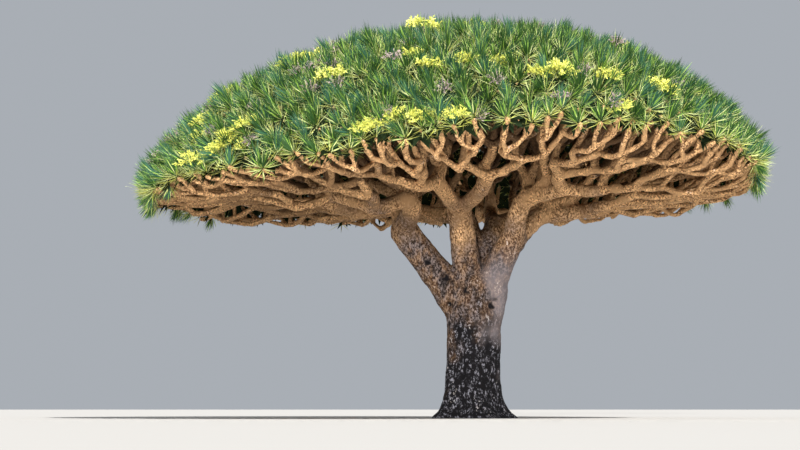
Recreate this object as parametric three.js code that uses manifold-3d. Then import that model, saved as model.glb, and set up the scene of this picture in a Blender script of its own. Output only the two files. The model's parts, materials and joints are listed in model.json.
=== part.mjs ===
// A mature dragon blood tree: a short stout trunk, boughs that fork in two again and again, and a wide
// umbrella crown closed over by rosettes of sword-shaped leaves.
// Millimetres, +Z up. The origin is the centre of the flat cut at ground level, and the front faces -Y.

import * as THREE from "three";
import { mergeVertices } from "three/addons/utils/BufferGeometryUtils.js";
import Module from "manifold-3d";

const wasm = await Module();
wasm.setup();

const { degToRad, lerp, smoothstep } = THREE.MathUtils;

// Trunk: a waist between the root flare and the head that carries the boughs.
const trunk = {
  waistRadius: 432,
  footRadius: 700,
  footRise: 230,
  neckHeight: 1350,
  headHeight: 2100,
  headRadius: 560,
  crotchHeight: 2520,
  lean: 120,
  flutes: 5,
  fluteDepth: 0.05,
  fluteTwist: 1 / 900,
  sides: 20,
};

// Crown: the dome on which every twig ends. Its highest point lies to the right of the trunk, and its rim
// dips at the front left. The rim's heights go round from +X in equal steps.
const crown = {
  apexX: 420,
  apexHeight: 6275,
  left: 5450,
  right: 4800,
  depth: 5050,
  rimHeights: [3920, 3940, 3880, 3850, 3750, 3540, 3620, 3500, 3550, 3950, 4140, 4060],
  capAngle: degToRad(74),
  flatness: 0.5,
  bulgeLeft: 60,
  bulgeRight: -140,
};

// Growth: a limb rises from the head of the trunk, runs out level under its part of the dome, then turns up.
// Near the rim it is level over nearly its whole way, and under the apex it rises evenly.
const growth = {
  headX: 70,
  headHeight: 1300,
  startHeight: 1500,
  levelShareLeft: 0.912,
  levelShareRight: 0.815,
  firstRise: 0.08,
  lastRise: 14,
  reachLoss: 0.094,
  reachLossGain: 0.001,
  outwardPerOrder: 0.1,
  wander: 0.12,
  splitDrift: 0.09,
  forkSpread: 0.55,
  boughSpread: -0.2,
  bend: 0.33,
};

// Wood: a limb's radius follows from its order, the number of forks between it and the last twigs.
const wood = {
  tipRadius: 42,
  radiusPower: 0.19,
  radiusGain: 0.012,
  boughSides: 6,
  twigSides: 3,
  boughSteps: 2,
  twigSteps: 1,
  twigRoot: 0.5,
  boughRoot: 1.4,
};

// Foliage: one mass for each limb of massOrder, a dense layer of tufts with rosettes that stand out of it.
const foliage = {
  massOrder: 5,
  twigOrder: 3,
  stemShare: 0.7,
  twigEnd: -90,
  layerTop: -10,
  layerBottom: -190,
  layerMargin: 14,
  layerRows: 3,
  nearestApex: 0.035,
  tuftHeight: 120,
  tuftDrift: 0.5,
  tuftLean: 1.6,
  wallMargin: 10,
};

// A rosette of broad sword leaves, by turns upright and spreading, on a short stem: heights above the dome.
const rosette = {
  leaves: 6,
  stemFoot: -110,
  stemTop: 80,
  stemRadius: 55,
  notchHeight: 140,
  notchReach: 140,
  heartHeight: 190,
  leafLengths: [370, 460],
  leafTilts: [degToRad(48), degToRad(72)],
  tiltDrift: degToRad(6),
  spinDrift: degToRad(7),
  shortenings: [1, 0.9, 0.8, 0.7, 0.6, 0.5],
};

// Blossom: a head of small flowers that stands above the leaves of some rosettes.
const blossom = {
  share: 0.18,
  sides: 4,
  foot: 60,
  shoulder: 240,
  top: 320,
  radius: 150,
};

const clearance = 0.4;

// The main boughs: the sector of the crown that each carries, in degrees round the rim from +X, its order,
// the place of its first fork, and its girth as a share of what its order gives.
const mainBoughs = [
  { name: "left", from: 146, to: 243, order: 8, fork: [-1150, -40, 3160], girth: 1.27 },
  { name: "front", from: 243, to: 294, order: 7, fork: [-200, -420, 3500], girth: 1.4 },
  { name: "right", from: 294, to: 396, order: 8, fork: [700, -150, 2960], girth: 1.18 },
  { name: "back_right", from: 36, to: 92, order: 7, fork: [430, 720, 3340], girth: 1.28 },
  { name: "back_left", from: 92, to: 146, order: 7, fork: [-120, 740, 3460], girth: 1.22 },
];

const materials = {
  bark: new THREE.MeshStandardMaterial({ color: 0x6b5445, roughness: 0.95, metalness: 0 }),
  limb: new THREE.MeshStandardMaterial({ color: 0xa0714a, roughness: 0.9, metalness: 0 }),
  leaf: new THREE.MeshStandardMaterial({ color: 0x4f7d3a, roughness: 0.55, metalness: 0 }),
};

// A repeatable number from -1 to 1 for a cell's code and one of its uses.
function chance(code, use) {
  const wave = Math.sin(code * 12.9898 + use * 78.233) * 43758.5453;
  return 2 * (wave - Math.floor(wave)) - 1;
}

// The rim's height at a turn, on a smooth closed line through the named heights.
function rimHeight(turn) {
  const count = crown.rimHeights.length;
  const place = ((turn / (2 * Math.PI) + 1) % 1) * count;
  const step = Math.floor(place);
  const share = place - step;
  const [before, from, to, after] = [-1, 0, 1, 2].map((k) => crown.rimHeights[(step + k + count) % count]);
  const slope = to - before;
  const bulge = 2 * before - 5 * from + 4 * to - after;
  const turnBack = 3 * from - before - 3 * to + after;
  return 0.5 * (2 * from + slope * share + bulge * share ** 2 + turnBack * share ** 3);
}

// A point of the dome, or above it by lift: turn goes round the rim, tip runs from 0 at the apex.
function domePoint(turn, tip, lift = 0) {
  const rimX = (crown.right - crown.left) / 2 + ((crown.left + crown.right) / 2) * Math.cos(turn);
  const rimY = crown.depth * Math.sin(turn);
  const rise = (crown.apexHeight - rimHeight(turn)) / (1 - Math.cos(crown.capAngle));
  const outShare = Math.sin(tip) / Math.sin(crown.capAngle);
  const out = new THREE.Vector3(rimX - crown.apexX, rimY, 0);
  const liftOut = out.clone().normalize().multiplyScalar(lift * Math.sin(tip));
  const bulge = lerp(crown.bulgeLeft, crown.bulgeRight, (1 + Math.cos(turn)) / 2);
  const swell = bulge * 4 * outShare ** 2 * (1 - outShare ** 2);
  const height = crown.apexHeight - rise * (1 - Math.cos(tip)) + swell + lift * Math.cos(tip);
  return new THREE.Vector3(crown.apexX, 0, height).addScaledVector(out, outShare).add(liftOut);
}

// The share of the dome's surface that lies within a tip angle: between a flat disc's and a sphere's.
function domeShare(tip) {
  const disc = (Math.sin(tip) / Math.sin(crown.capAngle)) ** 2;
  const sphere = (1 - Math.cos(tip)) / (1 - Math.cos(crown.capAngle));
  return lerp(disc, sphere, crown.flatness);
}

// The tip angle within which the given share of the dome's surface lies.
function tipAtShare(share) {
  let low = 0;
  let high = crown.capAngle;
  for (let step = 0; step < 40; step++) {
    const middle = (low + high) / 2;
    if (domeShare(middle) < share) low = middle;
    else high = middle;
  }
  return low;
}

// A cell is the part of the dome that one limb carries. Its middle is where the limb aims.
function cellMiddle(cell) {
  const tip = tipAtShare((domeShare(cell.inner) + domeShare(cell.outer)) / 2);
  return { turn: (cell.from + cell.to) / 2, tip };
}

// Splits a cell across its longer side into two of about the same area, one for each limb of a fork.
// A main bough's own fork always opens sideways.
function splitCell(cell) {
  const { turn, tip } = cellMiddle(cell);
  const across = domePoint(cell.from, tip).distanceTo(domePoint(cell.to, tip));
  const along = domePoint(turn, cell.inner).distanceTo(domePoint(turn, cell.outer));
  const middle = 0.5 + growth.splitDrift * chance(cell.code, 1);
  const { from, to, inner, outer, order, code } = cell;
  const low = { from, to, inner, outer, order: order - 1, code: 2 * code };
  const high = { ...low, code: 2 * code + 1 };
  if (along > across && !cell.fork) {
    low.outer = high.inner = tipAtShare(lerp(domeShare(cell.inner), domeShare(cell.outer), middle));
  } else {
    low.to = high.from = lerp(cell.from, cell.to, middle);
  }
  return [low, high];
}

// How far from the head of the trunk towards the dome a limb of this order forks, from 0 to 1.
function forkReach(order) {
  return 1 - growth.reachLoss * order - growth.reachLossGain * order ** 2;
}

function limbRadius(order) {
  return wood.tipRadius * 2 ** (wood.radiusPower * order + wood.radiusGain * order ** 2);
}

// The line along which a limb grows towards a point of the dome.
function growthPoint(turn, tip, reach) {
  const end = domePoint(turn, tip);
  const outShare = Math.sin(tip) / Math.sin(crown.capAngle);
  const level = lerp(growth.levelShareLeft, growth.levelShareRight, (1 + Math.cos(turn)) / 2);
  const rimRise = level * reach ** growth.firstRise + (1 - level) * reach ** growth.lastRise;
  return new THREE.Vector3(
    lerp(growth.headX, end.x, reach),
    lerp(0, end.y, reach),
    lerp(growth.headHeight, end.z, lerp(reach, rimRise, outShare ** 2)),
  );
}

// Where a cell's limb ends, and which way it points there: at its fork, or for a last twig in the foliage.
// A stout limb keeps under the outer part of its cell, and those for the inner part rise from it.
function limbEnd(cell, start) {
  const { turn, tip } = cellMiddle(cell);
  if (cell.order === foliage.twigOrder) {
    return { point: domePoint(turn, tip, foliage.twigEnd), direction: domeNormal(turn, tip) };
  }
  const outward = growth.outwardPerOrder * (cell.order - 2);
  const aim = lerp(tip, cell.outer, outward);
  const reach = forkReach(cell.order);
  const nudge = 0.01;
  const before = growthPoint(turn, aim, reach - nudge);
  const after = growthPoint(turn, aim, reach + nudge);
  if (cell.fork) {
    const onward = growthPoint(turn, aim, forkReach(cell.order - 1)).sub(start.point);
    return { point: new THREE.Vector3(...cell.fork), direction: onward.normalize() };
  }
  const length = growthPoint(turn, aim, forkReach(cell.order + 1)).distanceTo(after);
  const point = growthPoint(turn, aim, reach).add(
    new THREE.Vector3(chance(cell.code, 2), chance(cell.code, 3), chance(cell.code, 4)).multiplyScalar(
      growth.wander * length,
    ),
  );
  return { point, direction: after.sub(before).normalize() };
}

// The curve of a limb from its parent's fork to its own: with spread it leaves wide and straightens up.
function limbCurve(start, end, spread = growth.forkSpread) {
  const chord = end.point.clone().sub(start.point);
  const length = chord.length();
  chord.normalize();
  const side = chord.clone().addScaledVector(start.direction, -chord.dot(start.direction));
  const away = chord.addScaledVector(side, spread).normalize();
  return new THREE.CubicBezierCurve3(
    start.point,
    start.point.clone().addScaledVector(away, growth.bend * length),
    end.point.clone().addScaledVector(end.direction, -growth.bend * length),
    end.point,
  );
}

// The rings of a tube round a line of points, each with its own radius. The flat-sided tube holds as much
// as a round one.
function tubeRings(points, radii, sides) {
  const rings = [];
  const step = (2 * Math.PI) / sides;
  const fullness = Math.sqrt(step / Math.sin(step));
  const last = points.length - 1;
  let across = new THREE.Vector3(0, 1, 0);
  points.forEach((point, place) => {
    const ahead = points[Math.min(place + 1, last)].clone().sub(points[Math.max(place - 1, 0)]).normalize();
    if (Math.abs(ahead.dot(across)) > 0.95) across = new THREE.Vector3(1, 0, 0);
    across = across.addScaledVector(ahead, -across.dot(ahead)).normalize();
    const up = ahead.clone().cross(across);
    const ring = [];
    for (let side = 0; side < sides; side++) {
      const reach = radii[place] * fullness;
      ring.push(
        point
          .clone()
          .addScaledVector(across, reach * Math.cos(side * step))
          .addScaledVector(up, reach * Math.sin(side * step)),
      );
    }
    rings.push(ring);
  });
  return rings;
}

// A closed shape through rings of points with the same count, with flat ends.
function loft(rings) {
  const sides = rings[0].length;
  const index = [];
  const top = (rings.length - 1) * sides;
  for (let start = 0; start < top; start += sides) {
    for (let side = 0; side < sides; side++) {
      const a = start + side;
      const b = start + ((side + 1) % sides);
      index.push(a, b, a + sides, b, b + sides, a + sides);
    }
  }
  for (let side = 1; side < sides - 1; side++) {
    index.push(0, side + 1, side);
    index.push(top, top + side, top + side + 1);
  }
  return closedGeometry(rings.flat().flatMap((spot) => spot.toArray()), index);
}

function closedGeometry(positions, index) {
  return new THREE.BufferGeometry()
    .setAttribute("position", new THREE.Float32BufferAttribute(positions, 3))
    .setIndex(index);
}

// A closed mesh as a solid that can be joined and cut, and back again.
function solidOf(geometry) {
  const bare = geometry.clone();
  bare.deleteAttribute("normal");
  bare.deleteAttribute("uv");
  const merged = mergeVertices(bare, 1e-3);
  return new wasm.Manifold(
    new wasm.Mesh({
      numProp: 3,
      vertProperties: merged.attributes.position.array,
      triVerts: new Uint32Array(merged.index.array),
    }),
  );
}

function geometryOf(solid) {
  const mesh = solid.getMesh();
  const geometry = new THREE.BufferGeometry()
    .setAttribute("position", new THREE.BufferAttribute(mesh.vertProperties, 3))
    .setIndex(new THREE.BufferAttribute(mesh.triVerts, 1));
  geometry.computeVertexNormals();
  return geometry;
}

// The largest body of a solid that a cut may have left in several.
function largestBody(solid) {
  return solid.decompose().reduce((best, body) => (body.volume() > best.volume() ? body : best));
}

function trunkRadius(height) {
  const foot = (trunk.footRadius - trunk.waistRadius) * Math.exp(-height / trunk.footRise);
  const headShare = smoothstep(height, trunk.neckHeight, trunk.headHeight);
  return trunk.waistRadius + foot + (trunk.headRadius - trunk.waistRadius) * headShare;
}

// The trunk: fluted rings from the flat cut up to the head, closed over by the crotch of the boughs.
function trunkSolid(extra = 0) {
  const shaftHeights = [0, 130, 300, 520, 820, 1150, 1450, 1650, 1800, 1950, trunk.headHeight];
  const crotchAngles = [30, 55, 75].map(degToRad);
  const rings = shaftHeights.map((height) => ({ height, radius: trunkRadius(height) }));
  for (const angle of crotchAngles) {
    rings.push({
      height: lerp(trunk.headHeight, trunk.crotchHeight, Math.sin(angle)) + extra,
      radius: trunk.headRadius * Math.cos(angle),
    });
  }
  const spots = rings.map(({ height, radius }) => {
    const depth = trunk.fluteDepth * (1 + Math.exp(-height / trunk.footRise));
    const ring = [];
    for (let side = 0; side < trunk.sides; side++) {
      const angle = (2 * Math.PI * side) / trunk.sides;
      const wave = 1 + depth * Math.cos(trunk.flutes * angle + height * trunk.fluteTwist);
      const reach = radius * wave + extra;
      const middleX = trunk.lean * (height / trunk.crotchHeight) ** 2;
      ring.push(new THREE.Vector3(middleX + reach * Math.cos(angle), reach * Math.sin(angle), height));
    }
    return ring;
  });
  return solidOf(loft(spots));
}

// The tree as nested limbs: each has a cell, its curve from its parent's fork, and two children.
function grow(cell, start) {
  const end = limbEnd(cell, start);
  const radius = limbRadius(cell.order) * (cell.girth ?? 1);
  const curve = limbCurve(start, end, cell.fork ? growth.boughSpread : growth.forkSpread);
  const limb = { cell, end, curve, radius, children: [] };
  if (cell.order > foliage.twigOrder) {
    limb.children = splitCell(cell).map((child) => grow(child, end));
    // The child that runs on straightest comes first: it continues the same bough.
    const turnOff = (child) => -child.curve.getTangent(0.5).dot(end.direction);
    limb.children.sort((one, other) => turnOff(one) - turnOff(other));
  }
  return limb;
}

// A limb and those that continue it, down to an order.
function leaderChain(limb, lastOrder) {
  const chain = [limb];
  while (chain.at(-1).cell.order > lastOrder) chain.push(chain.at(-1).children[0]);
  return chain;
}

// The tapering line of a chain, from a share of its first limb to a share of its last. Root is how thick
// its first end is, as a share of the limb.
function chainLine(chain, { from = 0, to = 1, root = 1, steps }) {
  const last = chain.length - 1;
  const points = [chain[0].curve.getPoint(from)];
  const radii = [chain[0].radius * root];
  chain.forEach((limb, place) => {
    const start = place === 0 ? from : 0;
    const stop = place === last ? to : 1;
    const thin = place === last ? limb.radius : (limb.radius + chain[place + 1].radius) / 2;
    for (let step = 1; step <= steps; step++) {
      const share = step / steps;
      points.push(limb.curve.getPoint(lerp(start, stop, share)));
      radii.push(lerp(limb.radius, thin, share));
    }
  });
  return { points, radii };
}

// The solid of a line of wood, or with extra the solid that holds everything within that distance of it.
// It is joined from one link between each two rings, so a tight bend can't turn it inside out.
function lineSolid({ points, radii }, sides, extra = 0) {
  const spots = points.map((point) => point.clone());
  spots[0].addScaledVector(points[0].clone().sub(points[1]).normalize(), extra);
  spots.at(-1).addScaledVector(points.at(-1).clone().sub(points.at(-2)).normalize(), extra);
  const rings = tubeRings(spots, radii.map((radius) => radius + extra), sides);
  const links = rings.slice(1).map((ring, place) => {
    return wasm.Manifold.hull([...rings[place], ...ring].map((spot) => spot.toArray()));
  });
  return wasm.Manifold.union(links).simplify(0.1);
}

// The dense layer of a mass: a block under the dome over its cell, whose top is a tuft on each triangle.
function layerSolid(cell) {
  const rows = foliage.layerRows;
  const count = rows + 1;
  const marginTip = foliage.layerMargin / crown.depth;
  const inner = Math.max(cell.inner + marginTip, foliage.nearestApex);
  const outer = atRim(cell) ? cell.outer : cell.outer - marginTip;
  const positions = [];
  const index = [];
  for (const lift of [foliage.layerBottom, foliage.layerTop]) {
    for (let row = 0; row < count; row++) {
      const tip = lerp(inner, outer, row / rows);
      const marginTurn = foliage.layerMargin / (crown.depth * Math.sin(tip));
      for (let column = 0; column < count; column++) {
        const turn = lerp(cell.from + marginTurn, cell.to - marginTurn, column / rows);
        positions.push(domePoint(turn, tip, lift));
      }
    }
  }
  const topStart = count * count;
  const normal = domeNormal(cellMiddle(cell).turn, cellMiddle(cell).tip);
  const addTuft = (corners) => {
    const use = 60 + positions.length;
    const weights = [0, 1, 2].map((corner) => foliage.tuftLean + chance(cell.code, use + 40 * corner));
    const whole = weights[0] + weights[1] + weights[2];
    const height = foliage.tuftHeight * (0.8 + foliage.tuftDrift * chance(cell.code, use + 150));
    const peak = normal.clone().multiplyScalar(height);
    corners.forEach((corner, place) => peak.addScaledVector(positions[corner], weights[place] / whole));
    const top = positions.push(peak) - 1;
    corners.forEach((corner, place) => index.push(corner, corners[(place + 1) % 3], top));
  };
  for (let row = 0; row < rows; row++) {
    for (let column = 0; column < rows; column++) {
      const a = row * count + column;
      const [b, c, d] = [a + count, a + count + 1, a + 1];
      index.push(a, c, b, a, d, c);
      addTuft([a, b, c].map((corner) => corner + topStart));
      addTuft([a, c, d].map((corner) => corner + topStart));
    }
  }
  for (let step = 0; step < rows; step++) {
    const edges = [
      [step + 1, step],
      [rows * count + step, rows * count + step + 1],
      [step * count, (step + 1) * count],
      [(step + 1) * count + rows, step * count + rows],
    ];
    for (const [a, b] of edges) index.push(a, b, b + topStart, a, b + topStart, a + topStart);
  }
  return solidOf(closedGeometry(positions.flatMap((point) => point.toArray()), index));
}

// The unit normal of the dome at a place on it.
function domeNormal(turn, tip) {
  return domePoint(turn, tip, 1).sub(domePoint(turn, tip, 0)).normalize();
}

function atRim(cell) {
  return cell.outer > crown.capAngle - 1e-6;
}

// Whether a point stands over a cell, inside its upright walls by a margin. The rim has no outer wall.
function standsOver(cell, point, margin) {
  const halfWidth = (crown.left + crown.right) / 2;
  const middleX = (crown.right - crown.left) / 2;
  // The way out from the apex through the point meets the rim's ellipse at hit times its length.
  const out = new THREE.Vector2((point.x - crown.apexX) / halfWidth, point.y / crown.depth);
  const start = (crown.apexX - middleX) / halfWidth;
  const along = start * out.x;
  const hit = (-along + Math.sqrt(along ** 2 + out.lengthSq() * (1 - start ** 2))) / out.lengthSq();
  const turn = Math.atan2(hit * out.y, start + hit * out.x);
  const middle = (cell.from + cell.to) / 2;
  const offMiddle = Math.atan2(Math.sin(turn - middle), Math.cos(turn - middle));
  const distance = Math.hypot(point.x - crown.apexX, point.y);
  const wall = (cell.to - cell.from) / 2 - margin / distance;
  const reachAt = (tip) => (Math.sin(tip) / Math.sin(crown.capAngle)) * hit * distance;
  const insideRim = atRim(cell) || distance < reachAt(cell.outer) - margin;
  return Math.abs(offMiddle) < wall && distance > reachAt(cell.inner) + margin && insideRim;
}

// A rosette's own directions: out of the dome, and out from its middle at a spin round it.
function rosetteFrame(cell) {
  const { turn, tip } = cellMiddle(cell);
  const middle = domePoint(turn, tip);
  const normal = domeNormal(turn, tip);
  const across = new THREE.Vector3(-Math.sin(turn), Math.cos(turn), 0);
  across.addScaledVector(normal, -across.dot(normal)).normalize();
  const along = normal.clone().cross(across);
  return (height, spin = 0, reach = 0) =>
    middle
      .clone()
      .addScaledVector(normal, height)
      .addScaledVector(across, reach * Math.cos(spin))
      .addScaledVector(along, reach * Math.sin(spin));
}

function ringSpins(count, start) {
  return Array.from({ length: count }, (_, place) => start + (2 * Math.PI * place) / count);
}

// A rosette: a three-sided stem, and leaves whose tips and the notches between them come by turns.
function rosetteSolid(cell, massCell) {
  const spot = rosetteFrame(cell);
  const twist = cell.code;
  const stemSpins = ringSpins(3, twist);
  const stem = [rosette.stemFoot, rosette.stemTop].flatMap((height) =>
    stemSpins.map((spin) => spot(height, spin, rosette.stemRadius)),
  );
  const ring = ringSpins(2 * rosette.leaves, twist).map((spin, place) => {
    if (place % 2) return spot(rosette.notchHeight, spin, rosette.notchReach);
    const leaf = place / 2;
    const tilt = rosette.leafTilts[leaf % 2] + rosette.tiltDrift * chance(cell.code, 10 + leaf);
    const swing = spin + rosette.spinDrift * chance(cell.code, 20 + leaf);
    const leafTip = (share) => {
      const length = share * rosette.leafLengths[leaf % 2];
      return spot(rosette.stemTop + length * Math.cos(tilt), swing, length * Math.sin(tilt));
    };
    const share = rosette.shortenings.find((part) => standsOver(massCell, leafTip(part), foliage.wallMargin));
    return share ? leafTip(share) : spot(rosette.notchHeight, spin, rosette.notchReach);
  });
  const positions = [...stem, ...ring, spot(rosette.heartHeight)].flatMap((point) => point.toArray());
  const ringStart = stem.length;
  const heart = ringStart + ring.length;
  const perSide = ring.length / 3;
  const index = [0, 2, 1];
  for (let side = 0; side < 3; side++) {
    const next = (side + 1) % 3;
    index.push(side, next, side + 3, next, next + 3, side + 3);
    const nextCorner = ringStart + (((side + 1) * perSide) % ring.length);
    index.push(side + 3, next + 3, nextCorner);
  }
  for (let place = 0; place < ring.length; place++) {
    const a = ringStart + place;
    const b = ringStart + ((place + 1) % ring.length);
    index.push(3 + Math.floor(place / perSide), b, a, heart, a, b);
  }
  return solidOf(closedGeometry(positions, index));
}

// A head of blossom: a pointed foot, a shoulder and a low top.
function blossomSolid(cell) {
  const spot = rosetteFrame(cell);
  const spins = ringSpins(blossom.sides, cell.code);
  const ring = spins.map((spin) => spot(blossom.shoulder, spin, blossom.radius));
  const positions = [spot(blossom.foot), spot(blossom.top), ...ring].flatMap((point) => point.toArray());
  const index = [];
  for (let side = 0; side < blossom.sides; side++) {
    const a = 2 + side;
    const b = 2 + ((side + 1) % blossom.sides);
    index.push(0, b, a, 1, a, b);
  }
  return solidOf(closedGeometry(positions, index));
}

function touched(solid, others) {
  return others.filter((other) => !solid.intersect(other).isEmpty());
}

// The largest part of a solid that stands clear of all others.
function cutClear(solid, others) {
  const near = touched(solid, others);
  return largestBody(near.length ? solid.subtract(wasm.Manifold.union(near)) : solid).simplify(0.05);
}

// The side twigs of a chain and all that they carry, each left out where it would touch a limb.
function sideTwigs(chain, taken) {
  return chain.slice(0, -1).flatMap((limb) => {
    const branch = leaderChain(limb.children[1], foliage.twigOrder);
    const twig = lineSolid(chainLine(branch, { root: wood.twigRoot, steps: wood.twigSteps }), wood.twigSides);
    return touched(twig, taken).length ? [] : [twig, ...sideTwigs(branch, taken)];
  });
}

// The cells of the given order inside a cell.
function cellsWithin(cell, order) {
  return cell.order === order ? [cell] : splitCell(cell).flatMap((half) => cellsWithin(half, order));
}

// One mass: its stem, twigs, dense layer, rosettes and blossom, fused, inside its own space.
function massSolid(limb, taken) {
  const { cell } = limb;
  const chain = leaderChain(limb, foliage.twigOrder);
  const leaderLine = chainLine(chain, { from: foliage.stemShare, steps: wood.twigSteps });
  const parts = [lineSolid(leaderLine, wood.twigSides), ...sideTwigs(chain, taken), layerSolid(cell)];
  for (const place of cellsWithin(cell, foliage.twigOrder)) {
    parts.push(rosetteSolid(place, cell));
    if (chance(place.code, 50) < 2 * blossom.share - 1) parts.push(blossomSolid(place));
  }
  return cutClear(wasm.Manifold.union(parts), taken);
}

function addNode(group, name, solid, material) {
  const mesh = new THREE.Mesh(geometryOf(solid), material);
  mesh.name = name;
  group.add(mesh);
}

function buildTree() {
  const group = new THREE.Group();
  addNode(group, "trunk", trunkSolid(), materials.bark);
  const head = {
    point: new THREE.Vector3(growth.headX, 0, growth.startHeight),
    direction: new THREE.Vector3(0, 0, 1),
  };
  const taken = [trunkSolid(clearance)];
  const masses = [];

  // Boughs from thick to thin: each starts inside its parent and is cut clear of all that came before.
  const waiting = mainBoughs.map(({ name, from, to, ...bough }, place) => {
    const sector = { from: degToRad(from), to: degToRad(to), inner: 0, outer: crown.capAngle };
    return { name: `bough_${name}`, limb: grow({ ...sector, ...bough, code: place + 9 }, head) };
  });
  while (waiting.length) {
    const { name, limb } = waiting.shift();
    const chain = leaderChain(limb, foliage.massOrder);
    const root = limb.cell.fork ? wood.boughRoot : wood.twigRoot;
    const line = chainLine(chain, { to: foliage.stemShare, root, steps: wood.boughSteps });
    addNode(group, name, cutClear(lineSolid(line, wood.boughSides), taken), materials.limb);
    const grown = [0, clearance].map((extra) => lineSolid(line, wood.boughSides, extra));
    taken.push(wasm.Manifold.union(grown));
    masses.push({ name: name.replace("bough", "leaf_mass"), limb: chain.at(-1) });
    chain.slice(0, -1).forEach((part, place) => {
      waiting.push({ name: `${name}_${place + 1}`, limb: part.children[1] });
    });
  }
  for (const { name, limb } of masses) {
    const solid = massSolid(limb, taken);
    addNode(group, name, solid, materials.leaf);
    taken.push(solid);
  }
  return group;
}

export default buildTree();
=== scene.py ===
import json
import math

import bpy
import numpy as np
from mathutils import Matrix, Vector, noise

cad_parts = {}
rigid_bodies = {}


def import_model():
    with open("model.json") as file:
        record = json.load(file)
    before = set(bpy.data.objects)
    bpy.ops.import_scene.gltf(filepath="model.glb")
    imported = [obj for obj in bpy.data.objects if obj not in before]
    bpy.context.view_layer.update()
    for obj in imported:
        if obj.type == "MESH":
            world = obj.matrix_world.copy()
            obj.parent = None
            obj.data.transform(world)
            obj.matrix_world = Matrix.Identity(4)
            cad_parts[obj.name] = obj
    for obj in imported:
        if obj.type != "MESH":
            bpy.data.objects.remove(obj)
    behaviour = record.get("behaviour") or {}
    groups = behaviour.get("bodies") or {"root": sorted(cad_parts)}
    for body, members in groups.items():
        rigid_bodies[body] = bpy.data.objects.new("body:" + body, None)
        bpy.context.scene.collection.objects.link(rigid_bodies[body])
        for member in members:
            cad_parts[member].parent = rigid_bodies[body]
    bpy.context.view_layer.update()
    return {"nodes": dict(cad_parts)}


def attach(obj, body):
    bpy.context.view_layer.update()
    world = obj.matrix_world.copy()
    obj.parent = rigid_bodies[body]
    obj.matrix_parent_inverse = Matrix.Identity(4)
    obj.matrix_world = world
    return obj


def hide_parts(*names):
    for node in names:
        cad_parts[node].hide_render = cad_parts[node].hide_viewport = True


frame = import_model()
nodeNames = sorted(frame["nodes"])
massNodes = [name for name in nodeNames if name.startswith("leaf_mass")]
boughNodes = [name for name in nodeNames if name.startswith("bough")]
print("frame:", len(nodeNames), "nodes")

# The rule by which the solids grow, in metres, carried here to the last twigs. A limb's order falls by one at
# each fork, down to the last order at the tips.
crown = {
    "apexX": 0.42,
    "apexHeight": 6.275,
    "left": 5.45,
    "right": 4.8,
    "depth": 5.05,
    "rimHeights": [3.92, 3.94, 3.88, 3.85, 3.75, 3.54, 3.62, 3.5, 3.55, 3.95, 4.14, 4.06],
    "capAngle": math.radians(74),
    "flatness": 0.5,
    "bulgeLeft": 0.06,
    "bulgeRight": -0.14,
}
growth = {
    "headX": 0.07,
    "headHeight": 1.3,
    "startHeight": 1.5,
    "levelShareLeft": 0.912,
    "levelShareRight": 0.815,
    "firstRise": 0.08,
    "lastRise": 14,
    "reachLoss": 0.094,
    "reachLossGain": 0.001,
    "outwardPerOrder": 0.1,
    "outwardFrom": 2,
    "wayStep": 0.01,
    "wander": 0.12,
    "splitDrift": 0.09,
    "forkSpread": 0.55,
    "twigSpread": 0.8,
    "twigOrder": 2,
    "boughSpread": -0.2,
    "bend": 0.33,
    "tipRadius": 0.042,
    "radiusPower": 0.19,
    "radiusGain": 0.012,
    "twigEnd": -0.05,
    "tipStray": 0.08,
    "lastOrder": -1,
    "lastFork": 0.5,
    "firstCode": 9,
}
# The main boughs: their part of the dome in degrees, the place of their first fork and how thick they are.
mainBoughs = [
    {"name": "left", "from": 146, "to": 243, "order": 8, "fork": (-1.15, -0.04, 3.16), "girth": 1.27},
    {"name": "front", "from": 243, "to": 294, "order": 7, "fork": (-0.2, -0.42, 3.5), "girth": 1.4},
    {"name": "right", "from": 294, "to": 396, "order": 8, "fork": (0.7, -0.15, 2.96), "girth": 1.18},
    {"name": "back_right", "from": 36, "to": 92, "order": 7, "fork": (0.43, 0.72, 3.34), "girth": 1.28},
    {"name": "back_left", "from": 92, "to": 146, "order": 7, "fork": (-0.12, 0.74, 3.46), "girth": 1.22},
]


def lerp(start, end, share):
    return start + (end - start) * share


def smoothstep(value, low, high):
    share = np.clip((value - low) / (high - low), 0, 1)
    return share * share * (3 - 2 * share)


# A repeatable number from -1 to 1. The code stands for a limb or a leaf, and the use for what is drawn.
def chance(code, use):
    wave = math.sin(code * 12.9898 + use * 78.233) * 43758.5453
    return 2 * (wave - math.floor(wave)) - 1


# Three such numbers, from three uses that follow each other.
def chances(code, use):
    return [chance(code, use + axis) for axis in range(3)]


# The height of the rim, on a smooth curve through the rim's heights.
def rimHeight(turn):
    heights = crown["rimHeights"]
    place = ((turn / (2 * math.pi) + 1) % 1) * len(heights)
    step = math.floor(place)
    share = place - step
    before, start, end, after = (heights[(step + k) % len(heights)] for k in (-1, 0, 1, 2))
    slope = end - before
    bulge = 2 * before - 5 * start + 4 * end - after
    turnBack = 3 * start - before - 3 * end + after
    return 0.5 * (2 * start + slope * share + bulge * share**2 + turnBack * share**3)


# The middle and the half width of the crown's rim, from left to right.
rimMiddle = (crown["right"] - crown["left"]) / 2
rimHalfWidth = (crown["left"] + crown["right"]) / 2


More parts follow.
